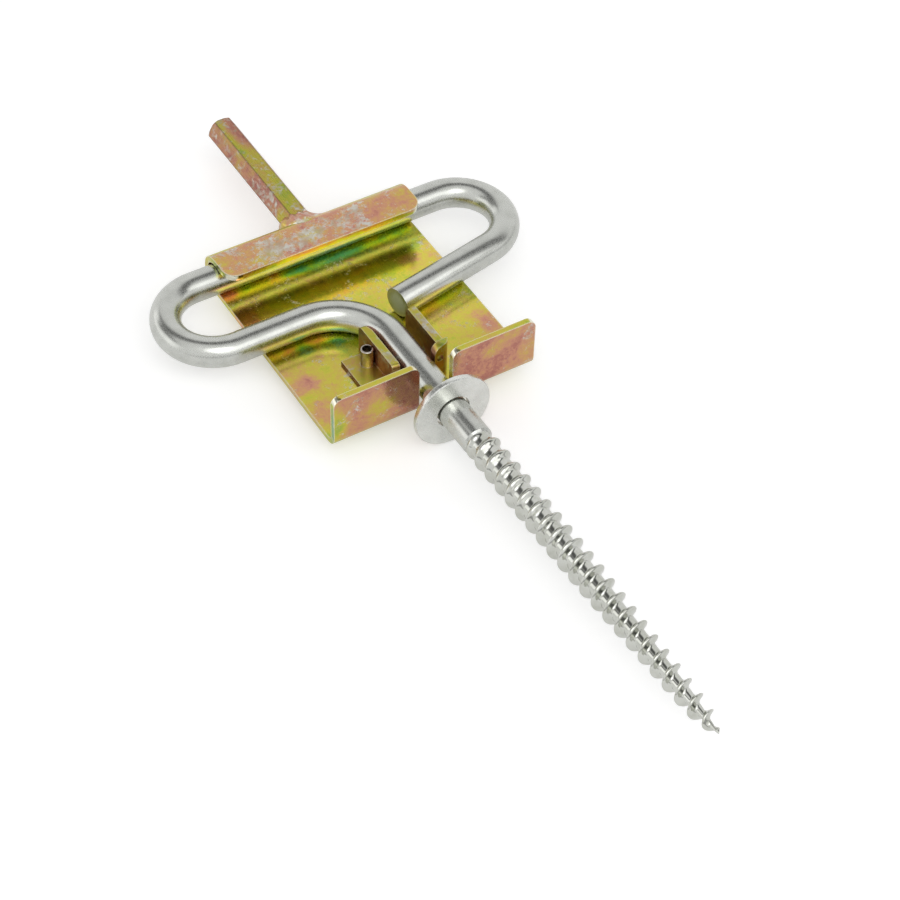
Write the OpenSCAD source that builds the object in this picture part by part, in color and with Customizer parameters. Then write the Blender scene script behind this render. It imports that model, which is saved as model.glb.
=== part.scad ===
// Screw-in loop seated in its hex-shank driver.
// The loop is one round bar: a wide T-shaped eye, a straight neck and a tapered screw, drawn
// here as its core without the ridge of its wood thread.
// The driver is folded sheet: a lip hooks over the loop's top bar and two tabs fork its neck.
// The screw's axis is Y with the tip towards -Y. The origin is where that axis meets the
// washer's bearing face. +Z points away from the driver's plate.

/* [Loop] */
// Diameter of the round bar
bar_d = 12; // [11.5:0.1:12.4]
// Distance from the screw's axis to the middle of the left lobe
left_half = 52.5; // [51:0.5:56]
// Distance from the screw's axis to the middle of the right lobe
right_half = 53.8; // [51:0.5:56]
// Radius of the bends at the two ends of the eye, on the bar's axis
lobe_r = 18.5; // [18:0.5:20]
// Distance from the washer's bearing face to the top bar's axis
top_y = 105; // [104:1:108]
// Radius of the bend from the eye into the neck, on the bar's axis
neck_bend_r = 25; // [24:0.5:26]
// Slope of the free leg towards the neck, in degrees
free_leg_tilt = 11; // [9:1:12]
// Distance of the free leg's cut end from the screw's axis
free_end_x = 11; // [10:0.1:13]

/* [Screw] */
// Length of the screw below the washer
screw_l = 165; // [150:1:180]
// Length of the plain neck below the washer
neck_l = 16.7; // [14:0.1:20]
// Radius of the thread's crest, which the washer has to pass
crest_r = 6.4; // [6.2:0.05:6.7]
// Radius of the core where the thread starts
core_r = 4.8; // [4.4:0.1:5.2]
// Radius of the core where the gimlet point starts
core_tip_r = 2.1; // [1.7:0.1:2.5]
// Length of the gimlet point
point_l = 18; // [14:1:24]

/* [Washer] */
// Outer diameter of the washer
washer_d = 31; // [28:0.5:34]
// Thickness of the washer
washer_t = 2.5; // [2:0.1:3]
// Gap between the washer's hole and the thread's crest
washer_gap = 0.4; // [0.3:0.05:0.8]

/* [Driver sheet] */
// Thickness of the driver's sheet
sheet_t = 2.5; // [2:0.1:3]
// Width of the driver's plate
plate_w = 85; // [80:1:90]
// Gap between the bar and the sheet that holds it
seat_gap = 0.4; // [0.35:0.05:0.6]
// How far the middle of the fold lies behind the top bar's axis
fold_back = 0.5; // [0:0.1:0.8]
// Distance from the top bar's axis to the lip's front edge
lip_l = 11.5; // [9:0.5:13]
// Corner radius of the lip
lip_corner_r = 6; // [4:0.5:8]
// Distance from the washer's bearing face to the front of the tabs
tab_y = 12.4; // [11.5:0.1:13]
// Height of the tabs above the screw's axis
tab_top = 15.3; // [12:0.1:17]
// Half the width of the fork between the tabs
fork_half = 7; // [6.7:0.1:7.5]
// Outer radius of the bend at the foot of the tabs
tab_bend_r = 5; // [4:0.1:5.5]

/* [Guides] */
// Thickness of the guide walls
guide_t = 3.2; // [2.5:0.1:3.4]
// Height of the guide walls above the screw's axis
guide_top = 4.5; // [3.5:0.1:5]
// Distance of the guides' near end from the washer's bearing face
guide_near = 26.5; // [26:0.5:30]
// Distance of the guides' far end from the washer's bearing face
guide_far = 52; // [48:0.5:52.5]
// Distance of the left wall's inner face from the screw's axis
left_guide_x = 6.9; // [6.7:0.1:7.5]
// Distance of the right wall's inner face from the screw's axis
right_guide_x = 10.2; // [9.8:0.1:12]
// Distance of the ear's front face from the washer's bearing face
ear_y = 24; // [23:0.1:25]
// Height of the ear above the screw's axis
ear_top = 8.2; // [7:0.1:9]
// Diameter of the hole in the ear
ear_hole_d = 2.8; // [2:0.1:3]
// Distance of that hole from the screw's axis
ear_hole_x = 8.7; // [8.5:0.1:9]
// Height of that hole above the screw's axis
ear_hole_z = 2.1; // [1:0.1:3]
// Thickness of the left guide's base
base_t = 1.5; // [1.2:0.1:2.2]
// Width of the left guide's base, from the screw's axis
base_x = 20.4; // [19:0.1:24]
// Distance of the base's far edge from the washer's bearing face
base_far = 47; // [45:0.5:50]
// Gap between the base and the bend of the tab
base_gap = 0.2; // [0.1:0.1:1]

/* [Spring pin] */
// Outer diameter of the slotted spring pin
pin_d = 5; // [4:0.1:5]
// Wall thickness of the spring pin
pin_wall = 0.65; // [0.5:0.05:0.9]
// Distance of the pin from the washer's bearing face
pin_y = 41.2; // [39:0.1:43]
// Height of the pin above the screw's axis
pin_top = 2.8; // [1:0.1:3.4]

/* [Drive shank] */
// Width across the flats of the hex shank
hex_af = 11.1; // [10:0.1:12]
// Distance from the washer's bearing face to the shank's free end
hex_end = 183; // [170:0.5:190]
// Chamfer at the shank's free end
hex_chamfer = 0.9; // [0.5:0.1:1.2]
// Radius of the weld bead
weld_r = 2.6; // [2.2:0.1:3]

/* [Hidden] */
$fn = 72;
eps = 0.01;
over = 1;                              // how far a cutter stands past what it cuts
bar_r = bar_d / 2;
seat_r = bar_r + seat_gap;             // inner radius of the fold round the top bar
fold_r = seat_r + sheet_t;             // outer radius of the fold
plate_top = -seat_r;
plate_bottom = -fold_r;
leg_y = top_y - 2 * lobe_r;            // axis of the leg that runs into the neck
lobe_y = top_y - lobe_r;
fold_y = top_y + fold_back;            // middle of the fold
bend_start_y = leg_y - neck_bend_r;    // where the neck's bend ends and the neck is straight
wall_out = left_guide_x + guide_t;     // outer face of the left guide's wall
pin_x = wall_out + pin_d / 2;          // the pin stands against that face
hex_r = hex_af / 2 / cos(30);
yellow_zinc = "#b5a83c";
bright_zinc = "#c9cac6";

// ---- sheet metal --------------------------------------------------------------------

// A quarter ring between two radii, in the quadrant that starts at the angle a0.
module quarter_ring(r_in, r_out, a0) {
    intersection() {
        difference() {
            circle(r = r_out);
            circle(r = r_in);
        }
        rotate(a0) square(r_out + over);
    }
}

// The sheet's side view: Y runs to the right and Z up.
module sheet_profile() {
    translate([tab_y + tab_bend_r, plate_bottom])
        square([fold_y - tab_y - tab_bend_r, sheet_t]);
    translate([tab_y + tab_bend_r, plate_bottom + tab_bend_r])
        quarter_ring(tab_bend_r - sheet_t, tab_bend_r, 180);
    translate([tab_y, plate_bottom + tab_bend_r])
        square([sheet_t, tab_top - plate_bottom - tab_bend_r]);
    translate([fold_y, 0]) {
        quarter_ring(seat_r, fold_r, 270);
        quarter_ring(seat_r, fold_r, 0);
    }
    translate([top_y - lip_l, seat_r]) square([lip_l + fold_back, sheet_t]);
}

// What is left over when a square corner is rounded; the corner is at the origin
// and the material lies in the quadrant of the signs sx and sy.
module corner_waste(r, sx, sy) {
    difference() {
        translate([min(0, sx * r) - eps, min(0, sy * r) - eps]) square(r + 2 * eps);
        translate([sx * r, sy * r]) circle(r = r);
        translate([sx * r - r - over, sy > 0 ? r : -2 * r - over]) square([2 * (r + over), r + over]);
        translate([sx > 0 ? r : -2 * r - over, sy * r - r - over]) square([r + over, 2 * (r + over)]);
    }
}

module tab_corners() {
    tab_corner_r = 3.5;
    for (side = [-1, 1]) {
        translate([side * plate_w / 2, tab_top]) corner_waste(tab_corner_r, -side, -1);
        translate([side * fork_half, tab_top]) corner_waste(tab_corner_r, side, -1);
    }
}

module driver_plate() {
    color(yellow_zinc)
    difference() {
        translate([-plate_w / 2, 0, 0]) rotate([90, 0, 90]) linear_extrude(plate_w) sheet_profile();
        // the fork between the tabs, cut past the bend with a round bottom
        translate([-fork_half, tab_y - over, plate_bottom - over])
            cube([2 * fork_half, tab_bend_r + over, tab_top - plate_bottom + 2 * over]);
        translate([0, tab_y + tab_bend_r, plate_bottom - over])
            cylinder(r = fork_half, h = sheet_t + 2 * over);
        // rounded corners of the tabs
        translate([0, tab_y + sheet_t + over, 0]) rotate([90, 0, 0])
            linear_extrude(sheet_t + 2 * over) tab_corners();
        // rounded corners of the lip
        for (side = [-1, 1])
            translate([side * plate_w / 2, top_y - lip_l, seat_r - over])
                linear_extrude(sheet_t + 2 * over) corner_waste(lip_corner_r, -side, 1);
        // the hole that the spring pin is pressed into
        translate([-pin_x, pin_y, plate_bottom - over]) cylinder(d = pin_d, h = sheet_t + 2 * over);
    }
}

// ---- drive shank and its welds --------------------------------------------------------

// The fold's outside, which the shank's end is coped to fit.
module fold_outside() {
    translate([-plate_w / 2 - over, fold_y, 0]) rotate([0, 90, 0])
        cylinder(r = fold_r, h = plate_w + 2 * over);
}

module hex_bar() {
    translate([0, hex_end, 0]) rotate([90, 0, 0])
        cylinder(r = hex_r, h = hex_end - fold_y, $fn = 6);
}

// What the lathe takes off at the shank's free end: all outside a cone of 45 degrees.
module end_chamfer() {
    corner_gap = 0.2;
    cone_r = hex_r + corner_gap;
    cone_l = 2 * hex_chamfer;
    translate([0, hex_end, 0]) rotate([-90, 0, 0]) difference() {
        translate([0, 0, -cone_l]) cylinder(r = hex_r + over, h = cone_l + over);
        translate([0, 0, -cone_l - over]) cylinder(r = cone_r, h = cone_l - hex_chamfer + over);
        translate([0, 0, -hex_chamfer]) cylinder(r1 = cone_r, r2 = cone_r - cone_l, h = cone_l);
    }
}

module drive_shank() {
    color(yellow_zinc)
    difference() {
        hex_bar();
        fold_outside();
        end_chamfer();
    }
}

// One bead: drops that run together in the corner between the shank and the fold, from above
// the shank round to out along the fold. side is 1 to the right and -1 to the left.
module weld_bead(side, reach, drops) {
    start_angle = 62;
    end_angle = -12;
    thinning = 0.22;                          // how much smaller the last drop is
    stand_off = 0.4;                          // from the shank's faces
    lift = 0.6;                               // off the fold
    half_af = hex_af / 2;
    difference() {
        for (i = [0:drops - 1]) {
            f = i / (drops - 1);
            a = start_angle + (end_angle - start_angle) * f;
            x = half_af * cos(a) + reach * f * f + stand_off;
            z = half_af * sin(a) + stand_off;
            y = fold_y + sqrt(pow(fold_r, 2) - z * z) + lift;
            translate([side * x, y, z]) sphere(r = weld_r * (1 - thinning * f), $fn = 32);
        }
        fold_outside();
        hex_bar();
        // each bead keeps to its own side of the shank
        translate([side > 0 ? stand_off - hex_af * 2 : -stand_off, fold_y, -hex_af])
            cube([hex_af * 2, fold_r + hex_af, 2 * hex_af]);
    }
}

module weld_right() {
    color(yellow_zinc) weld_bead(1, 5.5, 7);
}

module weld_left() {
    color(yellow_zinc) weld_bead(-1, 2.5, 6);
}

// ---- guides and spring pin --------------------------------------------------------------

// A guide wall's side view: Y to the right, Z up, rounded at both top corners.
module wall_profile(y0, y1, top, r0, r1) {
    difference() {
        translate([y0, plate_top]) square([y1 - y0, top - plate_top]);
        translate([y0, top]) corner_waste(r0, 1, -1);
        translate([y1, top]) corner_waste(r1, -1, -1);
    }
}

module left_guide() {
    wall_end_r = 1.5;
    wall_far_r = 2.5;
    base_near = tab_y + tab_bend_r + base_gap;
    color(yellow_zinc)
    difference() {
        union() {
            translate([-wall_out, 0, 0]) rotate([90, 0, 90]) linear_extrude(guide_t)
                wall_profile(guide_near, guide_far, guide_top, wall_end_r, wall_far_r);
            translate([-base_x, base_near, plate_top])
                cube([base_x - wall_out + eps, base_far - base_near, base_t]);
            translate([-wall_out, base_near, plate_top])
                cube([guide_t, guide_near - base_near + eps, base_t]);
        }
        // the far end is relieved to follow the inside of the neck's bend
        translate([-neck_bend_r, bend_start_y, plate_top - over])
            linear_extrude(guide_top - plate_top + 2 * over) difference() {
                square(2 * neck_bend_r);
                circle(r = neck_bend_r - seat_r);
            }
        translate([-pin_x, pin_y, plate_top - over]) cylinder(d = pin_d, h = base_t + 2 * over);
    }
}

module right_guide() {
    ear_corner_r = 4.3;
    outer_bend_r = 4;
    wall_near_r = 0.5;
    wall_far_r = 2.5;
    right_out = right_guide_x + guide_t;
    color(yellow_zinc)
    difference() {
        union() {
            translate([right_guide_x, 0, 0]) rotate([90, 0, 90]) linear_extrude(guide_t)
                wall_profile(ear_y, guide_far, guide_top, wall_near_r, wall_far_r);
            translate([seat_r, ear_y, plate_top])
                cube([right_out - seat_r, guide_t, ear_top - plate_top]);
        }
        // rounded inner top corner of the ear
        translate([0, ear_y + guide_t + over, 0]) rotate([90, 0, 0]) linear_extrude(guide_t + 2 * over)
            translate([seat_r, ear_top]) corner_waste(ear_corner_r, 1, -1);
        // upright bend between the ear and the wall
        translate([right_out, ear_y, plate_top - over]) linear_extrude(ear_top - plate_top + 2 * over)
            corner_waste(outer_bend_r, -1, 1);
        translate([ear_hole_x, ear_y - over, ear_hole_z]) rotate([-90, 0, 0])
            cylinder(d = ear_hole_d, h = guide_t + 2 * over);
    }
}

module spring_pin() {
    slot_w = 0.8;
    lead = 0.3;
    color(bright_zinc)
    translate([-pin_x, pin_y, 0]) difference() {
        union() {
            translate([0, 0, plate_bottom]) cylinder(d = pin_d, h = pin_top - plate_bottom - lead);
            translate([0, 0, pin_top - lead])
                cylinder(d1 = pin_d, d2 = pin_d - 2 * lead, h = lead);
        }
        translate([0, 0, plate_bottom - over])
            cylinder(d = pin_d - 2 * pin_wall, h = pin_top - plate_bottom + 2 * over);
        translate([0, -slot_w / 2, plate_bottom - over])
            cube([pin_d, slot_w, pin_top - plate_bottom + 2 * over]);
    }
}

// ---- loop and screw -----------------------------------------------------------------------

// A straight length of bar from p along the direction a (degrees from +X).
module bar(p, a, l) {
    translate([p[0], p[1], 0]) rotate([0, 0, a]) rotate([0, 90, 0]) cylinder(r = bar_r, h = l);
}

// A bend about the centre c from the angle a0 through sweep degrees.
module bend(c, r, a0, sweep) {
    translate([c[0], c[1], 0]) rotate([0, 0, a0])
        rotate_extrude(angle = sweep) translate([r, 0]) circle(r = bar_r);
}

module loop_eye() {
    leg_end = [right_half + lobe_r * sin(free_leg_tilt), lobe_y - lobe_r * cos(free_leg_tilt)];
    free_l = (leg_end[0] - free_end_x) / cos(free_leg_tilt);
    bar([-left_half, top_y], 0, left_half + right_half);
    bend([-left_half, lobe_y], lobe_r, 90, 180);
    bar([-left_half, leg_y], 0, left_half - neck_bend_r);
    bend([-neck_bend_r, bend_start_y], neck_bend_r, 0, 90);
    bend([right_half, lobe_y], lobe_r, free_leg_tilt - 90, 180 - free_leg_tilt);
    bar(leg_end, 180 + free_leg_tilt, free_l);
}

// Radius of the screw's core at the distance y below the washer: it thins slowly and then
// runs out in the gimlet point.
point_y = screw_l - point_l;
function core_at(y) =
    y < point_y ? core_r + (core_tip_r - core_r) * pow((y - neck_l) / (point_y - neck_l), 1.25)
    : core_tip_r * pow(1 - (y - point_y) / point_l, 0.73);

module screw_core() {
    shoulder_l = 1.2;
    cone_l = (point_y - neck_l) / 8;
    ring_l = point_l / 6;
    along = [for (y = [neck_l + cone_l:cone_l:point_y - cone_l / 2]) y];
    tip = [for (y = [point_y:ring_l:screw_l - ring_l / 2]) y];
    rotate([90, 0, 0]) rotate_extrude() polygon(concat(
        [[0, -bend_start_y], [bar_r, -bend_start_y], [bar_r, neck_l],
         [core_at(neck_l + shoulder_l), neck_l + shoulder_l]],
        [for (y = concat(along, tip)) [core_at(y), y]],
        [[0, screw_l]]));
}

module loop_screw() {
    color(bright_zinc) {
        loop_eye();
        screw_core();
    }
}

// ---- washer ---------------------------------------------------------------------------------

module washer() {
    edge = 0.25;
    hole_r = crest_r + washer_gap;
    color(bright_zinc)
    rotate([-90, 0, 0]) rotate_extrude() polygon([
        [hole_r, 0], [washer_d / 2 - edge, 0], [washer_d / 2, edge],
        [washer_d / 2, washer_t - edge], [washer_d / 2 - edge, washer_t], [hole_r, washer_t]]);
}

driver_plate();
drive_shank();
weld_right();
weld_left();
left_guide();
right_guide();
spring_pin();
loop_screw();
washer();
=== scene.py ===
import math
import bpy
import bmesh
from mathutils import Matrix, Vector


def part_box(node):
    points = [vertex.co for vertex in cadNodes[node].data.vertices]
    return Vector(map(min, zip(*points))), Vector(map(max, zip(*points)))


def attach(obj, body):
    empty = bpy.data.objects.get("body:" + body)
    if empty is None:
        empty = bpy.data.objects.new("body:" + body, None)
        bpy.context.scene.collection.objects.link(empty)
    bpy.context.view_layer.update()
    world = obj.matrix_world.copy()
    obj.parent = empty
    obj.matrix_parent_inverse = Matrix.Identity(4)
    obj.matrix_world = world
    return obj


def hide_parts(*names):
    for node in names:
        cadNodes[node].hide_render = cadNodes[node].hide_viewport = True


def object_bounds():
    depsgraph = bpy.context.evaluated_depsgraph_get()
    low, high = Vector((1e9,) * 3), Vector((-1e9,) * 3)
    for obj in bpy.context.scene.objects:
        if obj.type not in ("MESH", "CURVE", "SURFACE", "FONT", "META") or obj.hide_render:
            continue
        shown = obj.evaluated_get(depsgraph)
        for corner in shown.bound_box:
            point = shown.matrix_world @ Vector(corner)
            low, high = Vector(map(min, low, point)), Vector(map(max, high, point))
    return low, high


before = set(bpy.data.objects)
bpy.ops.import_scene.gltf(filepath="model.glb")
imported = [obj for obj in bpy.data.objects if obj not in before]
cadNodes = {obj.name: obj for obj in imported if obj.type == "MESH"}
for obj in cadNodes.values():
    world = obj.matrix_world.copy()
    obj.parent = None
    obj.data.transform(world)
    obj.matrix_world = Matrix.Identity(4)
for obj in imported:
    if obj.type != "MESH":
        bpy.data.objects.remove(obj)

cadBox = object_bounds()      # the CAD model's box, before anything is added
mm = 0.001                # sizes below are in millimetres
print("loaded", len(cadNodes), "CAD nodes")


# small helpers for shader trees

def addNode(tree, kind, **settings):
    node = tree.nodes.new("ShaderNode" + kind)
    for name, value in settings.items():
        setattr(node, name, value)
    return node


def feed(tree, socket, value):
    # a socket takes a link from another socket, or a plain value
    if isinstance(value, bpy.types.NodeSocket):
        tree.links.new(value, socket)
    elif value is not None:
        socket.default_value = value


def mathNode(tree, operation, first, second=None, third=None, clamp=False):
    node = addNode(tree, "Math", operation=operation, use_clamp=clamp)
    for socket, value in zip(node.inputs, (first, second, third)):
        feed(tree, socket, value)
    return node.outputs[0]


def vectorNode(tree, operation, first, second=None, scale=None):
    node = addNode(tree, "VectorMath", operation=operation)
    feed(tree, node.inputs[0], first)
    feed(tree, node.inputs[1], second)
    if scale is not None:
        feed(tree, node.inputs[3], scale)
    return node.outputs["Value" if operation in ("DOT_PRODUCT", "LENGTH") else "Vector"]


def splitVector(tree, vector):
    node = addNode(tree, "SeparateXYZ")
    feed(tree, node.inputs[0], vector)
    return node.outputs


def productOf(tree, first, *others):
    for other in others:
        first = mathNode(tree, "MULTIPLY", first, other)
    return first


def rampNode(tree, value, fromLow, fromHigh, toLow=0.0, toHigh=1.0):
    node = addNode(tree, "MapRange", interpolation_type="SMOOTHSTEP")
    for socket, item in zip(node.inputs, (value, fromLow, fromHigh, toLow, toHigh)):
        feed(tree, socket, item)
    return node.outputs[0]


def mixValue(tree, factor, first, second):
    node = addNode(tree, "Mix", data_type="FLOAT")
    for item, value in ((0, factor), (2, first), (3, second)):
        feed(tree, node.inputs[item], value)
    return node.outputs[0]


def mixColour(tree, factor, first, second, blend="MIX"):
    # colours are sockets, or red, green and blue
    node = addNode(tree, "Mix", data_type="RGBA", blend_type=blend)
    feed(tree, node.inputs[0], factor)
    for item, value in ((6, first), (7, second)):
        feed(tree, node.inputs[item], (*value, 1.0) if isinstance(value, tuple) else value)
    return node.outputs[2]


def noiseNode(tree, vector, scale, detail=3.0, rough=0.5, distortion=0.0, output="Fac"):
    node = addNode(tree, "TexNoise")
    for name, value in (("Vector", vector), ("Scale", scale), ("Detail", detail),
                        ("Roughness", rough), ("Distortion", distortion)):
        feed(tree, node.inputs[name], value)
    return node.outputs[output]


def colourBand(tree, value, stops):
    node = addNode(tree, "ValToRGB")
    band = node.color_ramp
    while len(band.elements) < len(stops):
        band.elements.new(0.5)
    for element, (place, colour) in zip(band.elements, stops):
        element.position = place
        element.color = (*colour, 1.0)
    feed(tree, node.inputs[0], value)
    return node.outputs[0]


def newGroup(name, inputs, outputs):
    tree = bpy.data.node_groups.new(name, "ShaderNodeTree")
    for label, kind, start in inputs:
        socket = tree.interface.new_socket(label, in_out="INPUT",
                                           socket_type="NodeSocket" + kind)
        if start is not None:
            socket.default_value = start
    for label, kind in outputs:
        tree.interface.new_socket(label, in_out="OUTPUT", socket_type="NodeSocket" + kind)
    return tree, tree.nodes.new("NodeGroupInput").outputs, tree.nodes.new("NodeGroupOutput").inputs


def useGroup(tree, group, **values):
    node = addNode(tree, "Group", node_tree=group)
    for name, value in values.items():
        feed(tree, node.inputs[name], value)
    return node.outputs


def direction(turn, rise):
    # a unit vector from its turn and rise in degrees: turn 0 is -Y, and turn 90 is +X
    turn, rise = math.radians(turn), math.radians(rise)
    return Vector((math.sin(turn) * math.cos(rise), -math.cos(turn) * math.cos(rise), math.sin(rise)))


# camera

cameraSet = {
    "azimuth": -32.31,        # degrees, 0 looks along +Y
    "elevation": 47.28,
    "roll": 1.76,
    "distance": 833.2,        # from the washer's bearing face
    "slide": (-1.28, -13.95),  # sideways and upwards
    "lens": 92.07,
    "sensor": 36.0,
    "clip": (0.01, 50.0),     # metres
}


def makeCamera(values):
    back = direction(values["azimuth"], values["elevation"])
    level = direction(values["azimuth"] + 90.0, 0.0)
    roll = math.radians(values["roll"])
    right = level * math.cos(roll) + back.cross(level) * math.sin(roll)
    up = back.cross(right)
    data = bpy.data.cameras.new("productCamera")
    data.lens = values["lens"]
    data.sensor_width = values["sensor"]
    data.clip_start, data.clip_end = values["clip"]
    camera = bpy.data.objects.new("productCamera", data)
    bpy.context.scene.collection.objects.link(camera)
    place = right * values["slide"][0] + up * values["slide"][1] + back * values["distance"]
    aim = Matrix((right, up, back)).transposed().to_4x4()
    camera.matrix_world = Matrix.Translation(place * mm) @ aim
    bpy.context.scene.camera = camera


makeCamera(cameraSet)
print("camera placed")


# studio: a pale room with soft panels, and a pale floor

studio = {
    "walls": 0.85,
    "below": 0.95,
    "horizon": (-0.05, 0.0),  # heights between which the one turns into the other
    # turn and rise of the middle, half width, half height and softness in degrees, level
    "panels": {
        "keyPanel": (27.0, 39.0, 36.0, 16.0, 10.0, 1.60),
        "keyGap": (27.0, 27.0, 40.0, 2.2, 2.5, 0.30),
        "leftPanel": (-128.0, 22.0, 34.0, 13.0, 6.0, 1.30),
        "roofGap": (140.0, 72.0, 62.0, 11.0, 10.0, 0.12),
        "leftGap": (-140.0, 43.0, 26.0, 6.0, 5.0, 0.22),
        "tableEdge": (10.0, 4.0, 80.0, 4.0, 3.0, 0.40),
    },
    "floorColour": (0.80, 0.80, 0.80),
    "floorLift": 0.39,        # added where the floor is seen, so that it reads as white
    "mirrorLift": 0.17,       # the same, where it is seen in the metal
    "floorDrop": 0.3,         # gap under the lowest point
    "floorSize": 6.0,         # metres
    "lampPower": 3.0,
    "lampSize": 0.9,          # metres, and so is the lamp's place
    "lampPlace": (-0.35, -0.75, 1.25),
}


def panelMask(tree, ray, turn, rise, halfWidth, halfHeight, softness):
    centre = direction(turn, rise)
    across = direction(turn + 90.0, 0.0)
    halfSoft = math.sin(math.radians(softness)) / 2
    mask = mathNode(tree, "GREATER_THAN", vectorNode(tree, "DOT_PRODUCT", ray, centre), 0.0)
    for axis, half in ((across, halfWidth), (centre.cross(across), halfHeight)):
        reach = mathNode(tree, "ABSOLUTE", vectorNode(tree, "DOT_PRODUCT", ray, axis))
        inside = mathNode(tree, "SUBTRACT", math.sin(math.radians(half)), reach)
        mask = mathNode(tree, "MULTIPLY", mask, rampNode(tree, inside, -halfSoft, halfSoft))
    return mask


def makeWorld(values):
    world = bpy.data.worlds.new("studioRoom")
    world.use_nodes = True
    bpy.context.scene.world = world
    tree = world.node_tree
    ray = addNode(tree, "TexCoord").outputs["Generated"]
    height = vectorNode(tree, "DOT_PRODUCT", ray, (0.0, 0.0, 1.0))
    level = rampNode(tree, height, *values["horizon"], values["below"], values["walls"])
    for *shape, strength in values["panels"].values():
        level = mixValue(tree, panelMask(tree, ray, *shape), level, strength)
    background = tree.nodes["Background"]
    background.inputs["Color"].default_value = (1.0, 1.0, 1.0, 1.0)
    seen = addNode(tree, "LightPath").outputs["Is Camera Ray"]
    feed(tree, background.inputs["Strength"], mathNode(tree, "MAXIMUM", seen, level))


def makeFloor(values):
    low = cadBox[0].z - values["floorDrop"] * mm
    half = values["floorSize"] / 2
    corners = [(x * half, y * half, low) for x, y in ((-1, -1), (1, -1), (1, 1), (-1, 1))]
    mesh = bpy.data.meshes.new("paleFloor")
    mesh.from_pydata(corners, [], [(0, 1, 2, 3)])
    floor = bpy.data.objects.new("paleFloor", mesh)
    bpy.context.scene.collection.objects.link(floor)
    material = bpy.data.materials.new("paleFloor")
    material.use_nodes = True
    tree = material.node_tree
    shader = tree.nodes["Principled BSDF"]
    shader.inputs["Base Color"].default_value = (*values["floorColour"], 1.0)
    shader.inputs["Roughness"].default_value = 1.0
    shader.inputs["Specular IOR Level"].default_value = 0.0
    path = addNode(tree, "LightPath").outputs
    mirrored = mathNode(tree, "MULTIPLY", path["Is Glossy Ray"], values["mirrorLift"])
    lift = addNode(tree, "Emission")
    feed(tree, lift.inputs["Strength"],
         mathNode(tree, "MULTIPLY_ADD", path["Is Camera Ray"], values["floorLift"], mirrored))
    both = addNode(tree, "AddShader")
    feed(tree, both.inputs[0], shader.outputs[0])
    feed(tree, both.inputs[1], lift.outputs[0])
    feed(tree, tree.nodes["Material Output"].inputs["Surface"], both.outputs[0])
    mesh.materials.append(material)


def makeLamp(values):
    data = bpy.data.lights.new("softLamp", "AREA")
    data.shape = "DISK"
    data.size = values["lampSize"]
    data.energy = values["lampPower"]
    lamp = bpy.data.objects.new("softLamp", data)
    bpy.context.scene.collection.objects.link(lamp)
    lamp.location = values["lampPlace"]
    lamp.rotation_euler = (-lamp.location).to_track_quat("-Z", "Y").to_euler()


makeWorld(studio)
makeFloor(studio)
makeLamp(studio)
bpy.context.scene.view_settings.view_transform = "Standard"
print("studio lit")


# shared surface effects, each a group with its own settings

noiseMiddle = 0.5         # the mean of every noise

grainLines = {
    "fine": {"scale": 1.0, "detail": 4.0, "rough": 0.7},
    "broad": {"scale": 1.0, "detail": 2.0},
    "broadShare": 0.23,       # the broad lines' scale, as a share of the fine ones'
    "broadRelief": 0.4,
    "range": (0.38, 0.66),    # where a line starts, and where it is full
}


def buildGrainGroup():
    # fine lines drawn along one axis of the piece, given as the scale along and across
    tree, given, out = newGroup(
        "drawnGrain",
        [("Position", "Vector", None), ("Stretch", "Vector", (1.0, 1.0, 1.0))],
        [("Mask", "Float"), ("Height", "Float")])
    laid = vectorNode(tree, "MULTIPLY", given["Position"], given["Stretch"])
    fine = noiseNode(tree, laid, **grainLines["fine"])
    wide = vectorNode(tree, "SCALE", laid, scale=grainLines["broadShare"])
    broad = noiseNode(tree, wide, **grainLines["broad"])
    feed(tree, out["Mask"], rampNode(tree, fine, *grainLines["range"]))
    feed(tree, out["Height"], mathNode(tree, "MULTIPLY_ADD", broad, grainLines["broadRelief"], fine))
    return tree


chromateColours = {
    "broad": {"detail": 3.0, "rough": 0.55, "distortion": 0.5},
    "fine": {"scale": 400.0, "detail": 6.0, "rough": 0.74, "distortion": 0.3},
    "tints": (                # from thin film to thick
        (0.00, (0.49, 0.20, 0.16)),
        (0.14, (0.64, 0.31, 0.21)),
        (0.30, (0.67, 0.39, 0.17)),
        (0.45, (0.65, 0.49, 0.11)),
        (0.60, (0.63, 0.57, 0.08)),
        (0.74, (0.47, 0.53, 0.07)),
        (0.87, (0.34, 0.47, 0.11)),
        (1.00, (0.20, 0.41, 0.22)),
    ),
}


def buildFilmGroup():
    # the interference colours of a chromate film, from pink through gold and green to teal
    tree, given, out = newGroup(
        "chromateFilm",
        [("Position", "Vector", None), ("Bias", "Float", 0.5), ("Spread", "Float", 1.0),
         ("Size", "Float", 45.0), ("Mottle", "Float", 0.5)],
        [("Colour", "Color")])
    broad = noiseNode(tree, given["Position"], given["Size"], **chromateColours["broad"])
    fine = noiseNode(tree, given["Position"], **chromateColours["fine"])
    broad = mathNode(tree, "SUBTRACT", broad, noiseMiddle)
    fine = mathNode(tree, "SUBTRACT", fine, noiseMiddle)
    shift = mathNode(tree, "MULTIPLY", broad, given["Spread"])
    shift = mathNode(tree, "MULTIPLY_ADD", fine, given["Mottle"], shift)
    film = mathNode(tree, "ADD", shift, given["Bias"], clamp=True)
    feed(tree, out["Colour"], colourBand(tree, film, chromateColours["tints"]))
    return tree


spotOutline = {
    "drift": {"scale": 120.0, "detail": 3.0},
    "fade": (1.0, 0.25),      # shares of the reach where a spot starts, and where it is full
}


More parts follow.
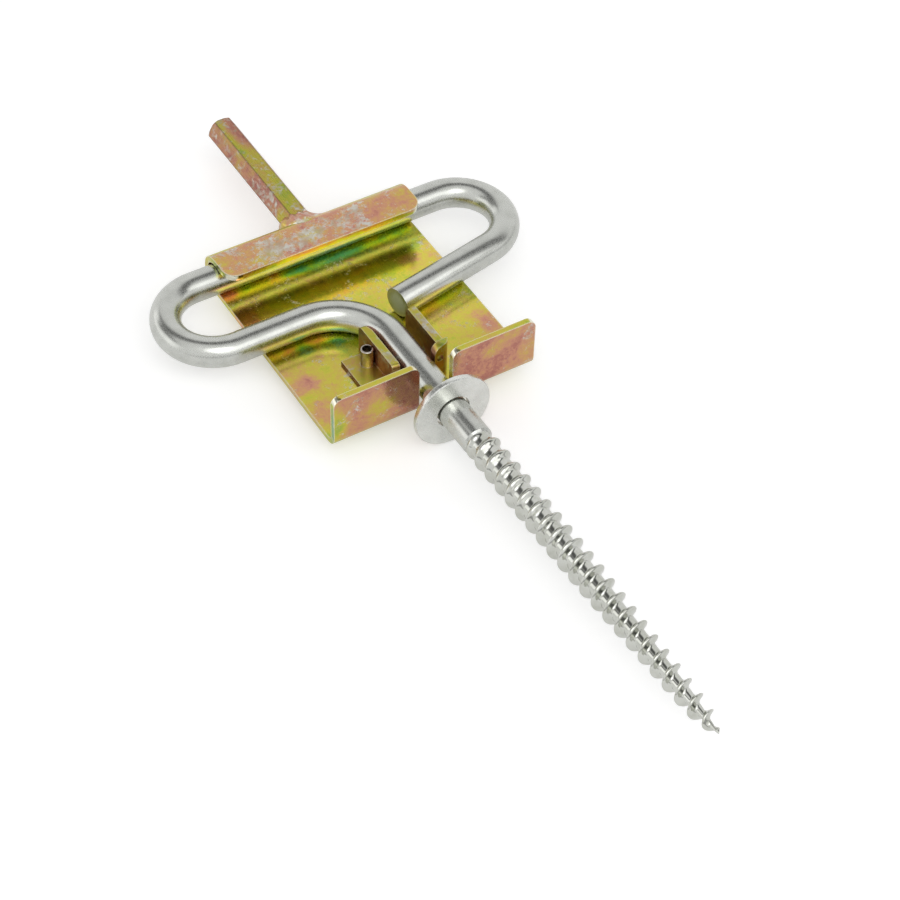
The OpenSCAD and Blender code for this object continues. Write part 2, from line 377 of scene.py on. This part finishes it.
def buildSpotGroup():
    # one soft blot with a wandering outline, for a tint that sits in one place
    tree, given, out = newGroup(
        "tintSpot",
        [("Position", "Vector", None), ("Centre", "Vector", None), ("Reach", "Vector", None),
         ("Wander", "Float", 0.004)],
        [("Mask", "Float")])
    drift = noiseNode(tree, given["Position"], output="Color", **spotOutline["drift"])
    lean = vectorNode(tree, "SUBTRACT", drift, (noiseMiddle, noiseMiddle, noiseMiddle))
    lean = vectorNode(tree, "SCALE", lean, scale=given["Wander"])
    moved = vectorNode(tree, "ADD", given["Position"], lean)
    away = vectorNode(tree, "SUBTRACT", moved, given["Centre"])
    away = vectorNode(tree, "LENGTH", vectorNode(tree, "DIVIDE", away, given["Reach"]))
    feed(tree, out["Mask"], rampNode(tree, away, *spotOutline["fade"]))
    return tree


rubbedPatches = {
    "broad": {"detail": 3.0, "distortion": 0.9},
    "flakes": {"scale": 240.0, "detail": 5.0, "rough": 0.72, "distortion": 0.4},
    "flakeRange": (0.36, 0.62),
    "ragged": {"scale": 560.0, "detail": 5.0, "rough": 0.7},
    "raggedShare": 1.1,
    "level": 1.33,            # both noises have to pass this where nothing is rubbed
    "coverShare": 0.6,
    "edge": 0.12,
}


def buildPatchGroup():
    # ragged grey patches where the film is thin or rubbed away
    tree, given, out = newGroup(
        "dullPatches",
        [("Position", "Vector", None), ("Size", "Float", 70.0), ("Cover", "Float", 0.3)],
        [("Mask", "Float"), ("Tone", "Float")])
    values = rubbedPatches
    broad = noiseNode(tree, given["Position"], given["Size"], **values["broad"])
    flakes = noiseNode(tree, given["Position"], **values["flakes"])
    feed(tree, out["Tone"], rampNode(tree, flakes, *values["flakeRange"]))
    ragged = noiseNode(tree, given["Position"], **values["ragged"])
    both = mathNode(tree, "MULTIPLY_ADD", ragged, values["raggedShare"], broad)
    lowered = mathNode(tree, "MULTIPLY", given["Cover"], values["coverShare"])
    past = mathNode(tree, "SUBTRACT", both, mathNode(tree, "SUBTRACT", values["level"], lowered))
    feed(tree, out["Mask"], rampNode(tree, past, -values["edge"], values["edge"]))
    return tree


softEdgeLean = {"samples": 4, "lean": (0.998, 0.95)}   # the cosine where the edge mask starts and is full


def buildEdgeMaskGroup():
    # a mask for edges, from how far a softened normal leans from the true one
    tree, given, out = newGroup("softEdgeMask", [("Radius", "Float", 0.0005)], [("Mask", "Float")])
    soft = addNode(tree, "Bevel", samples=softEdgeLean["samples"])
    feed(tree, soft.inputs["Radius"], given["Radius"])
    true = addNode(tree, "NewGeometry").outputs["Normal"]
    lean = vectorNode(tree, "DOT_PRODUCT", soft.outputs["Normal"], true)
    feed(tree, out["Mask"], rampNode(tree, lean, *softEdgeLean["lean"]))
    return tree


zincPeel = {"noise": {"detail": 3.0, "rough": 0.6}, "range": (0.40, 0.68)}


def buildSpeckleGroup():
    # the fine orange peel and pits of zinc plate
    tree, given, out = newGroup(
        "platingSpeckle",
        [("Position", "Vector", None), ("Size", "Float", 1800.0)],
        [("Mask", "Float"), ("Height", "Float")])
    peel = noiseNode(tree, given["Position"], given["Size"], **zincPeel["noise"])
    feed(tree, out["Mask"], rampNode(tree, peel, *zincPeel["range"]))
    feed(tree, out["Height"], peel)
    return tree


filmGroup = buildFilmGroup()
grainGroup = buildGrainGroup()
patchGroup = buildPatchGroup()
spotGroup = buildSpotGroup()
edgeMaskGroup = buildEdgeMaskGroup()
speckleGroup = buildSpeckleGroup()


# materials

def startMaterial(name):
    material = bpy.data.materials.new(name)
    material.use_nodes = True
    tree = material.node_tree
    shader = tree.nodes["Principled BSDF"]
    shader.inputs["Metallic"].default_value = 1.0
    coords = addNode(tree, "TexCoord").outputs
    return material, tree, shader, coords


def addBump(tree, shader, height, distance):
    bump = addNode(tree, "Bump")
    bump.inputs["Distance"].default_value = distance
    feed(tree, bump.inputs["Height"], height)
    feed(tree, shader.inputs["Normal"], bump.outputs["Normal"])


def addSpots(tree, place, value, spots):
    # each spot: centre and reach in millimetres, and what it adds to the value
    for centre, reach, amount in spots:
        mask = useGroup(tree, spotGroup, Position=place,
                        Centre=Vector(centre) * mm, Reach=Vector(reach) * mm)["Mask"]
        value = mathNode(tree, "MULTIPLY_ADD", mask, amount, value)
    return value


def facing(tree, coords, axis, start, full, sign=1.0):
    # a mask for the sides that look along one axis
    side = splitVector(tree, coords["Normal"])[axis]
    return rampNode(tree, mathNode(tree, "MULTIPLY", side, sign), start, full)


def placeRamp(tree, coords, axis, start, full):
    # a mask that rises between two places along one axis, in millimetres
    return rampNode(tree, splitVector(tree, coords["Object"])[axis], start * mm, full * mm)


def lipMask(tree, coords, lip):
    # the upper side of the lip
    start, full = lip["under"]
    return productOf(tree, placeRamp(tree, coords, "Z", lipFace - start, lipFace - full),
                     placeRamp(tree, coords, "Y", *lip["along"]),
                     facing(tree, coords, "Z", *lip["facing"]))


def rimMask(tree, coords, rim):
    # a softened edge is where the surface looks along none of the three axes
    sides = splitVector(tree, coords["Normal"])
    most = mathNode(tree, "ABSOLUTE", sides["X"])
    for axis in ("Y", "Z"):
        most = mathNode(tree, "MAXIMUM", most, mathNode(tree, "ABSOLUTE", sides[axis]))
    return productOf(tree, rampNode(tree, most, *rim["lean"]),
                     placeRamp(tree, coords, "Z", *rim["up"]),
                     placeRamp(tree, coords, "Y", *rim["along"]))


def makeFilmFinish(name, values):
    # one yellow passivate finish: film colours, dull patches, drawn grain, edges, and spots of painted
    # light
    material, tree, shader, coords = startMaterial(name)
    place = coords["Object"]
    bias = values["bias"]
    cover = values["cover"]
    for axis, sign, amount in values["facings"]:
        side = facing(tree, coords, axis, *values["facingRange"], sign)
        bias = mathNode(tree, "MULTIPLY_ADD", side, amount, bias)
    if values["lip"]:
        onLip = lipMask(tree, coords, values["lip"])
        bias = mathNode(tree, "MULTIPLY_ADD", onLip, values["lip"]["bias"], bias)
        cover = mathNode(tree, "MULTIPLY_ADD", onLip, values["lip"]["cover"], cover)
    bias = addSpots(tree, place, bias, values["tints"])
    cover = addSpots(tree, place, cover, values["rubbed"])
    film = useGroup(tree, filmGroup, Position=place, Bias=bias, Spread=values["spread"],
                    Size=values["filmSize"], Mottle=values["mottle"])["Colour"]
    dull = useGroup(tree, patchGroup, Position=place, Size=values["patchSize"], Cover=cover)
    patch = dull["Mask"]
    patchColour = mixColour(tree, dull["Tone"], values["patchShade"], values["patchColour"])
    patchDepth = mathNode(tree, "MULTIPLY_ADD", dull["Tone"], values["patchTone"],
                          values["patchDepth"])
    thinned = mathNode(tree, "MULTIPLY", patch, patchDepth, clamp=True)
    colour = mixColour(tree, thinned, film, patchColour)
    grain = useGroup(tree, grainGroup, Position=place, Stretch=values["grain"])
    # painted light: spots that make the colour brighter under the lip and under the loop
    tone = addSpots(tree, place, values["tone"] - values["streak"], values["paintedLight"])
    streak = mathNode(tree, "MULTIPLY_ADD", grain["Mask"], values["streak"], tone)
    colour = mixColour(tree, 1.0, colour, streak, "MULTIPLY")
    # pale edges: film worn thin, plus a painted highlight along the edges; on the shank the edges are
    # painted darker
    edgeShare = useGroup(tree, edgeMaskGroup, Radius=values["edgeReach"] * mm)["Mask"]
    edgeTint = mathNode(tree, "MULTIPLY", edgeShare, values["edgeDepth"])
    colour = mixColour(tree, edgeTint, colour, values["edgeColour"])
    # pale edges in front of the fold: worn film and a painted highlight
    if values["rim"]:
        rim = mathNode(tree, "MULTIPLY", rimMask(tree, coords, values["rim"]), values["rim"]["depth"])
        colour = mixColour(tree, rim, colour, values["rim"]["colour"])
    feed(tree, shader.inputs["Base Color"], colour)
    low, high = values["roughness"]
    rough = mathNode(tree, "MULTIPLY_ADD", grain["Mask"], high - low, low)
    rough = mathNode(tree, "MULTIPLY_ADD", patch, values["patchRoughness"] - low, rough)
    feed(tree, shader.inputs["Roughness"], rough)
    relief = mathNode(tree, "MULTIPLY_ADD", patch, values["patchRelief"], grain["Height"])
    addBump(tree, shader, relief, values["relief"] * mm)
    return material


# faces of the bent sheet, which places on it are given from
sheetThickness = 2.5
plateLow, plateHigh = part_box("driver_plate")
foldRadius = -plateLow.z / mm          # the fold's outside is as high as the plate's back is low
plateFace = sheetThickness - foldRadius
lipFace = foldRadius
tabFace = plateLow.y / mm


def spotsOn(height, depth, rows):
    # spots on a flat face: place across and along, reach across and along, amount
    return tuple(((x, y, height), (wide, far, depth), amount) for x, y, wide, far, amount in rows)


def spotsOnTabs(depth, rows):
    # spots on the tabs' fronts: place across and up, reach across and up, amount
    return tuple(((x, tabFace, z), (wide, depth, tall), amount) for x, z, wide, tall, amount in rows)


yellowSheet = {
    "bias": 0.60, "spread": 1.1,           # middle and range on the film's scale of tints
    "filmSize": 34.0, "mottle": 0.90,      # scale of the broad tints, depth of the fine ones
    "facings": (),                         # axis, sign, and what that side adds to the bias
    "facingRange": (0.55, 0.97),
    "lip": None, "rim": None,
    "tints": (), "rubbed": (), "paintedLight": (),   # spots that add bias, cover, and painted light to the tone
    "cover": 0.10, "patchSize": 85.0, "patchDepth": 0.62, "patchTone": 0.35,
    "patchColour": (0.78, 0.77, 0.71), "patchShade": (0.58, 0.50, 0.36),
    "patchRoughness": 0.42, "patchRelief": -0.6,
    "tone": 1.0, "roughness": (0.15, 0.24),
    "grain": (2600.0, 70.0, 2600.0), "streak": 0.06, "relief": 0.0025,
    # edges: pale where the film is worn, with a painted highlight along them
    "edgeReach": 0.7, "edgeDepth": 0.8, "edgeColour": (0.92, 0.88, 0.68),
}
yellowPlate = dict(
    yellowSheet,
    facings=(("Y", -1.0, -0.44),), facingRange=(0.82, 0.97),   # the tabs' fronts are pink
    # the lip is pinker and more rubbed
    lip={"under": (1.5, 0.3), "along": (80.0, 83.0), "facing": (0.55, 0.9),
         "bias": -0.38, "cover": 0.24},
    # pale edges on the tabs and the lip, in front of the fold: worn film and a painted highlight
    rim={"up": (-3.5, -1.5), "along": (104.5, 103.0), "lean": (0.985, 0.88),
         "depth": 0.85, "colour": (0.97, 0.95, 0.84)},
    tints=(
        # under the lip and along the plate, left of the neck, and right of it
        *spotsOn(plateFace, 4.0, (
            (1.0, 99.0, 20.0, 6.0, 0.32), (-11.6, 100.0, 8.0, 3.5, 0.34),
            (16.0, 99.0, 15.0, 6.0, 0.22), (32.0, 100.0, 12.0, 6.0, 0.14),
            (10.3, 95.5, 4.5, 1.8, -0.40), (31.0, 84.5, 8.0, 4.0, -0.24),
            (41.0, 84.0, 5.0, 14.0, -0.28), (-40.0, 101.0, 6.0, 7.0, -0.42),
            (-40.0, 84.0, 7.0, 10.0, -0.32), (-18.0, 88.0, 14.0, 4.0, 0.10),
            (-28.0, 60.0, 6.0, 4.5, 0.36), (-18.0, 57.5, 10.0, 4.0, 0.26),
            (-33.0, 62.0, 4.0, 4.5, -0.32), (-38.0, 44.0, 9.0, 7.0, -0.40),
            (-38.0, 27.0, 9.0, 11.0, -0.38), (-29.0, 22.0, 10.0, 6.0, -0.30),
            (39.0, 38.0, 6.0, 16.0, -0.30), (26.0, 56.0, 7.0, 9.0, -0.12))),
        *spotsOnTabs(3.0, (
            (-41.0, 2.0, 5.5, 12.0, 0.44), (-22.0, 3.5, 9.0, 5.0, 0.20),
            (24.0, 9.0, 9.0, 5.0, 0.26), (31.0, 13.0, 10.0, 4.0, 0.22),
            (38.0, 3.0, 6.0, 8.0, 0.18))),
        *spotsOn(lipFace, 3.0, (
            (-3.5, 101.0, 8.0, 5.0, 0.24), (-25.0, 98.0, 11.0, 4.0, 0.14),
            (14.0, 95.5, 9.0, 3.0, 0.06), (30.0, 100.0, 16.0, 8.0, -0.16))),
        ((0.0, 93.4, 7.0), (90.0, 2.6, 1.7), 0.40),    # the lip's front edge
    ),
    paintedLight=(                                    # painted light: brighter under the lip and under the loop
        *spotsOn(plateFace, 8.0, (
            (0.0, 97.0, 110.0, 34.0, 0.42), (30.0, 60.0, 32.0, 26.0, 0.24),
            (-26.0, 66.0, 34.0, 16.0, 0.10))),
        ((0.0, 99.0, 5.6), (110.0, 24.0, 3.3), 0.16),
    ),
    rubbed=spotsOn(lipFace, 3.0, (
        (-8.0, 101.0, 26.0, 11.0, 0.22), (32.0, 99.0, 14.0, 10.0, -0.14),
        (-35.0, 100.0, 9.0, 9.0, -0.06))),
)
plateFilm = makeFilmFinish("yellowPlate", yellowPlate)

yellowGuide = dict(
    yellowSheet, bias=0.46, cover=0.18, edgeDepth=0.5, roughness=(0.30, 0.42), tone=0.86,
    facings=(("X", 1.0, -0.36), ("X", -1.0, -0.36), ("Y", -1.0, -0.10), ("Z", 1.0, 0.10)),
    rubbed=(((11.8, 40.0, 4.5), (3.0, 14.0, 3.0), 0.26),),
)
guideFilm = makeFilmFinish("yellowGuide", yellowGuide)

hexBar = dict(
    yellowSheet, bias=0.20, filmSize=60.0, mottle=0.8,
    facings=(("Z", 1.0, 0.38),),
    tints=(((3.0, 174.0, 5.5), (7.0, 20.0, 6.0), -0.60), ((-3.5, 166.0, 5.5), (4.0, 12.0, 4.0), 0.14),
           ((-6.0, 122.0, 3.0), (5.0, 9.0, 5.0), 0.25)),
    rubbed=(((-5.0, 136.0, 2.0), (4.0, 12.0, 5.0), 0.30),),
    cover=0.24, patchSize=260.0, patchColour=(0.86, 0.84, 0.76), tone=0.80,
    grain=(2400.0, 110.0, 2400.0), streak=0.09, relief=0.002, roughness=(0.24, 0.38),
    # darker along the shank's edges
    edgeReach=0.85, edgeDepth=0.85, edgeColour=(0.13, 0.09, 0.045),
)
hexFilm = makeFilmFinish("yellowHexBar", hexBar)

yellowWeld = dict(
    hexBar, bias=0.24, facings=(), spread=1.2, tone=0.95,
    tints=(((-2.5, 109.6, 8.0), (8.0, 3.4, 3.4), 0.22),),
    rubbed=(((-3.0, 109.6, 8.0), (6.5, 3.0, 3.2), 0.42),), patchRoughness=0.12,
    grain=(700.0, 700.0, 700.0), relief=0.006, roughness=(0.08, 0.20), edgeDepth=0.0,
)
weldFilm = makeFilmFinish("yellowWeld", yellowWeld)

brightZinc = {
    "colour": (0.63, 0.64, 0.60), "shade": (0.55, 0.56, 0.52), "roughness": (0.22, 0.32),
    "cloud": {"scale": 160.0, "detail": 4.0, "rough": 0.6}, "cloudRange": (0.35, 0.7),
    "speckle": 2300.0, "relief": 0.0016,   # scale of the peel, and its height
    "glint": 0.18, "glintColour": (0.74, 0.74, 0.76),
    "scored": None, "cutEnd": None,
}


def makeBrightZinc(name, values):
    material, tree, shader, coords = startMaterial(name)
    place = coords["Object"]
    speckle = useGroup(tree, speckleGroup, Position=place, Size=values["speckle"])
    cloud = rampNode(tree, noiseNode(tree, place, **values["cloud"]), *values["cloudRange"])
    colour = mixColour(tree, cloud, values["colour"], values["shade"])
    glint = mathNode(tree, "MULTIPLY", speckle["Mask"], values["glint"])
    colour = mixColour(tree, glint, colour, values["glintColour"])
    low, high = values["roughness"]
    rough = mathNode(tree, "MULTIPLY_ADD", speckle["Mask"], high - low, low)
    height = speckle["Height"]
    if values["scored"]:
        scored = values["scored"]
        grain = useGroup(tree, grainGroup, Position=place, Stretch=scored["grain"])
        scratch = mathNode(tree, "MULTIPLY", grain["Mask"],
                           addSpots(tree, place, 0.0, scored["spots"]))
        rough = mathNode(tree, "MULTIPLY_ADD", scratch, scored["roughness"], rough)
        height = mathNode(tree, "MULTIPLY_ADD", scratch, scored["relief"], height)
        darkened = mathNode(tree, "MULTIPLY", scratch, scored["depth"])
        colour = mixColour(tree, darkened, colour, scored["colour"])
    if values["cutEnd"]:
        cutEnd = values["cutEnd"]
        cut = mathNode(tree, "MULTIPLY", addSpots(tree, place, 0.0, cutEnd["spots"]),
                       facing(tree, coords, "X", *cutEnd["facing"], -1.0))
        colour = mixColour(tree, cut, colour, cutEnd["colour"])
        rough = mathNode(tree, "MULTIPLY_ADD", cut, cutEnd["roughness"], rough)
    feed(tree, shader.inputs["Base Color"], colour)
    feed(tree, shader.inputs["Roughness"], rough)
    addBump(tree, shader, height, values["relief"] * mm)
    return material


loopBar = dict(
    brightZinc,
    # where the washer and the tabs have rubbed the neck
    scored={"spots": (((0.0, -9.0, 0.0), (9.0, 8.0, 9.0), 0.7),
                      ((0.0, 7.0, 0.0), (9.0, 11.0, 9.0), 0.8)),
            "grain": (260.0, 2100.0, 260.0), "roughness": 0.22, "relief": -3.0,
            "depth": 0.5, "colour": (0.40, 0.39, 0.37)},
    # the sawn face at the end of the free leg
    cutEnd={"spots": (((11.0, 59.3, 0.0), (7.5, 7.5, 7.5), 1.6),), "facing": (0.90, 0.96),
            "roughness": 0.35, "colour": (0.60, 0.63, 0.42)},
)
flatWasher = dict(brightZinc, colour=(0.83, 0.84, 0.80), shade=(0.75, 0.76, 0.72),
                  roughness=(0.24, 0.34), glint=0.12)
rolledThread = dict(brightZinc, colour=(0.66, 0.67, 0.62), shade=(0.56, 0.57, 0.51),
                    roughness=(0.08, 0.15), speckle=1100.0)
springPin = dict(brightZinc, colour=(0.50, 0.44, 0.38), shade=(0.40, 0.36, 0.32),
                 roughness=(0.16, 0.28))
barZinc = makeBrightZinc("brightZincBar", loopBar)
washerZinc = makeBrightZinc("brightZincWasher", flatWasher)
threadZinc = makeBrightZinc("brightZincThread", rolledThread)
pinSteel = makeBrightZinc("springPinSteel", springPin)
print("materials made")


# CAD pieces: softened edges and their finishes

softEdges = {"joinDistance": 0.001, "segments": 3, "sharpAngle": 35.0}   # mm, and degrees
cadFinish = {
    # node: its finish, and the radius of its edges; the weld beads are replaced below
    "driver_plate": (plateFilm, 0.55),
    "drive_shank": (hexFilm, 0.3),
    "weld_right": (weldFilm, None),
    "weld_left": (weldFilm, None),
    "left_guide": (guideFilm, 0.35),
    "right_guide": (guideFilm, 0.35),
    "spring_pin": (pinSteel, 0.12),
    "loop_screw": (barZinc, 0.5),
    "washer": (washerZinc, 0.2),
}


def softenEdges(piece, radius, values):
    weld = piece.modifiers.new("joinFaces", "WELD")
    weld.merge_threshold = values["joinDistance"] * mm
    bevel = piece.modifiers.new("softEdges", "BEVEL")
    bevel.width = radius * mm
    bevel.segments = values["segments"]
    bevel.limit_method = "ANGLE"
    bevel.angle_limit = math.radians(values["sharpAngle"])
    bevel.use_clamp_overlap = True
    bevel.harden_normals = True


for nodeName, (finish, radius) in cadFinish.items():
    cadNodes[nodeName].material_slots[0].material = finish
    if radius:
        softenEdges(cadNodes[nodeName], radius, softEdges)
print("CAD pieces finished")


# the wood thread: one ridge that runs down the tapered core to the gimlet point

screwThread = {
    "pitch": 6.735,
    "crestTurn": 26.27,        # degrees from +X towards +Z where a crest lies at crestAt
    "crestAt": 22.3,           # below the washer
    "start": 14.0,             # hidden inside the neck
    "rampIn": (15.6, 20.6),    # the ridge grows out of the neck's end here
    "neckRadius": 5.9,
    "coreRadius": (4.8, 2.1),  # below the neck, and above the gimlet point
    "coreStart": 16.7,
    "coreTaper": 1.25,
    "pointLength": 18.0,
    "pointTaper": 0.73,
    "cover": 0.06,             # stands over the solid core
    "crest": ((14.0, 6.4), (75.0, 6.4), (90.0, 6.2), (105.0, 5.78), (116.0, 5.5), (125.0, 5.2),
              (139.0, 4.85), (151.0, 4.45), (158.0, 3.7), (163.2, 1.7), (165.0, 0.5)),
    "width": (0.34, 0.31),     # half the ridge's foot, in pitches, at the neck and at the tip
    "sharpness": (0.75, 1.75),
    "steps": 72,               # round one turn
    "rows": 22,                # along one pitch
    "spare": 1.5,              # pitches past the tip, so that every column reaches it
}


def alongList(pairs, place):
    # the value at a place in a list of places and values
    for (low, first), (high, second) in zip(pairs, pairs[1:]):
        if place <= high:
            return first + (second - first) * (place - low) / (high - low)
    return pairs[-1][1]


def easeIn(low, high, place):
    part = min(1.0, max(0.0, (place - low) / (high - low)))
    return part * part * (3.0 - 2.0 * part)


def coreRadius(values, place, length):
    thick, thin = values["coreRadius"]
    begin, last = values["coreStart"], length - values["pointLength"]
    if place < last:
        part = max(0.0, (place - begin) / (last - begin))
        return thick + (thin - thick) * part ** values["coreTaper"]
    left = max(0.0, 1.0 - (place - last) / values["pointLength"])
    return thin * left ** values["pointTaper"]


def threadRadius(values, turn, place, length):
    core = coreRadius(values, place, length) + values["cover"]
    phase = (place - values["crestAt"]) / values["pitch"] - (turn - values["crestTurn"]) / 360.0
    offset = abs(phase - round(phase))      # from the nearest crest, in pitches
    part = (place - values["start"]) / (length - values["start"])
    width, sharp = (near + (far - near) * part for near, far in (values["width"], values["sharpness"]))
    ridge = 0.0
    if offset < width:
        ridge = (0.5 + 0.5 * math.cos(math.pi * offset / width)) ** sharp
    crest = alongList(values["crest"], place)
    ramp = easeIn(*values["rampIn"], place)
    radius = core + max(0.0, crest - core) * ridge * ramp
    return min(radius, values["neckRadius"]) if place < values["coreStart"] else radius


samePlace = 0.0001         # points closer than this are one


def meshPiece(name, verts, faces, material, body):
    # points at the same place are joined, and any hole is closed
    mesh = bpy.data.meshes.new(name)
    mesh.from_pydata([Vector(vert) * mm for vert in verts], [], faces)
    work = bmesh.new()
    work.from_mesh(mesh)
    bmesh.ops.remove_doubles(work, verts=work.verts, dist=samePlace * mm)
    openEdges = [edge for edge in work.edges if edge.is_boundary]
    if openEdges:
        bmesh.ops.holes_fill(work, edges=openEdges, sides=0)
    bmesh.ops.recalc_face_normals(work, faces=work.faces)
    work.to_mesh(mesh)
    work.free()
    mesh.polygons.foreach_set("use_smooth", [True] * len(mesh.polygons))
    mesh.materials.append(material)
    piece = bpy.data.objects.new(name, mesh)
    bpy.context.scene.collection.objects.link(piece)
    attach(piece, body)
    return piece


def makeThread(values, material):
    length = -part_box("loop_screw")[0].y / mm
    steps, rows, pitch = values["steps"], values["rows"], values["pitch"]
    start = values["start"]
    last = math.ceil((length - start + values["spare"] * pitch) / pitch * rows)
    verts, faces = [], []
    for step in range(steps):
        turn = 360.0 * step / steps
        angle = math.radians(turn)
        for row in range(last + 1):
            place = start + pitch * (row / rows - 1.0 + step / steps)
            place = min(length, max(start, place))
            radius = threadRadius(values, turn, place, length)
            verts.append((radius * math.cos(angle), -place, radius * math.sin(angle)))
    for step in range(steps):
        for row in range(last):
            here = step * (last + 1) + row
            if step + 1 < steps:
                there, beyond = here + last + 1, here + last + 2
            else:
                # the last column joins the first one a whole pitch further down
                there, beyond = min(last, row + rows), min(last, row + 1 + rows)
            faces.append((here, here + 1, beyond, there))
    meshPiece("woodThread", verts, faces, material, "loop")


# the two weld beads round the foot of the shank, smooth fillets in place of the solid beads

weldBeads = {
    # each row: turn in degrees from +X towards +Z, climb up the shank, reach outwards, fullness
    "weld_right": ((-38.0, 2.6, 5.0, 0.30), (-15.0, 4.6, 6.0, 0.26), (10.0, 5.8, 6.2, 0.22),
                   (30.0, 5.6, 5.6, 0.30), (50.0, 5.4, 4.2, 0.60), (72.0, 5.4, 3.4, 0.95),
                   (94.0, 5.2, 3.0, 1.20)),
    "weld_left": ((86.0, 5.2, 3.0, 1.20), (112.0, 5.2, 3.0, 1.35), (135.0, 5.7, 3.2, 1.45),
                  (158.0, 6.2, 3.4, 1.50), (180.0, 6.2, 3.2, 1.50), (205.0, 5.6, 3.0, 1.40),
                  (226.0, 4.0, 2.4, 1.20)),
    "steps": 96,
    "across": 16,
    # waves along the bead: height, radians to a degree of turn, and where each starts
    "swell": ((0.16, 0.163, 0.7), (0.128, 0.088, 0.0), (0.048, 0.29, 0.0)),
    "waver": ((0.45, 0.21, 2.0),),   # the same, for the bead's upper edge
    "sunk": 0.9,              # how far the hidden side lies inside the shank and the fold
    "footTuck": 0.07,         # share by which the hidden side of the foot is drawn in
    "foldTop": 0.45,          # the foot stays this far under the lip's outer face
}


def shankRadius(turn, halfFlats):
    # from the shank's axis to its hexagon, with a flat on top
    return halfFlats / math.cos(math.radians(turn % 60.0 - 30.0))


def foldPlace(z):
    # how far along the fold's outside reaches at a height
    return plateHigh.y / mm - foldRadius + math.sqrt(max(0.0, foldRadius ** 2 - z * z))


def waves(rows, turn):
    return sum(height * math.sin(turn * rate + start) for height, rate, start in rows)


def weldSection(values, turn, climb, reach, full, halfFlats):
    # one section of a bead: its open side from the shank to the fold, then its hidden side
    along = Vector((0.0, 1.0, 0.0))
    outward = Vector((math.cos(math.radians(turn)), 0.0, math.sin(math.radians(turn))))
    root = outward * shankRadius(turn, halfFlats)
    corner = root + along * foldPlace(root.z)
    top = corner + along * (climb + waves(values["waver"], turn))
    foot = root + outward * reach
    limit = foldRadius - values["foldTop"]
    foot.z = min(limit, max(-limit, foot.z))
    foot.y = foldPlace(foot.z)
    middle = corner + ((top + foot) / 2 - corner) * full
    points = []
    for item in range(values["across"] + 1):
        slide = item / values["across"]
        point = top * (1.0 - slide) ** 2 + middle * 2.0 * slide * (1.0 - slide) + foot * slide ** 2
        swell = waves(values["swell"], turn) * math.sin(math.pi * slide)
        points.append(point + (outward + along) * swell)
    sunk, tuck = values["sunk"], values["footTuck"]
    points.append(foot * (1.0 - tuck) + along * (foot.y * tuck - sunk))
    points.append(corner - outward * sunk - along * sunk * 2.0)
    points.append(top - outward * sunk)
    return points


def makeWeld(node, values, material):
    shankLow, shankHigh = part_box("drive_shank")
    halfFlats = (shankHigh.z - shankLow.z) / 2 / mm
    rows = values[node]
    first, last = rows[0][0], rows[-1][0]
    verts, faces = [], []
    for step in range(values["steps"] + 1):
        turn = first + (last - first) * step / values["steps"]
        shape = [alongList([(row[0], row[item]) for row in rows], turn) for item in (1, 2, 3)]
        section = weldSection(values, turn, *shape, halfFlats)
        verts += section
    count = len(section)
    for step in range(values["steps"]):
        for item in range(count):
            here, beside = step * count + item, step * count + (item + 1) % count
            faces.append((here, beside, beside + count, here + count))
    faces.append(tuple(range(count)))
    faces.append(tuple(range(values["steps"] * count, (values["steps"] + 1) * count)))
    piece = meshPiece(node + "_bead", verts, faces, material, "driver")
    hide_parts(node)


makeThread(screwThread, threadZinc)
for node in ("weld_right", "weld_left"):
    makeWeld(node, weldBeads, weldFilm)
print("thread and welds made")
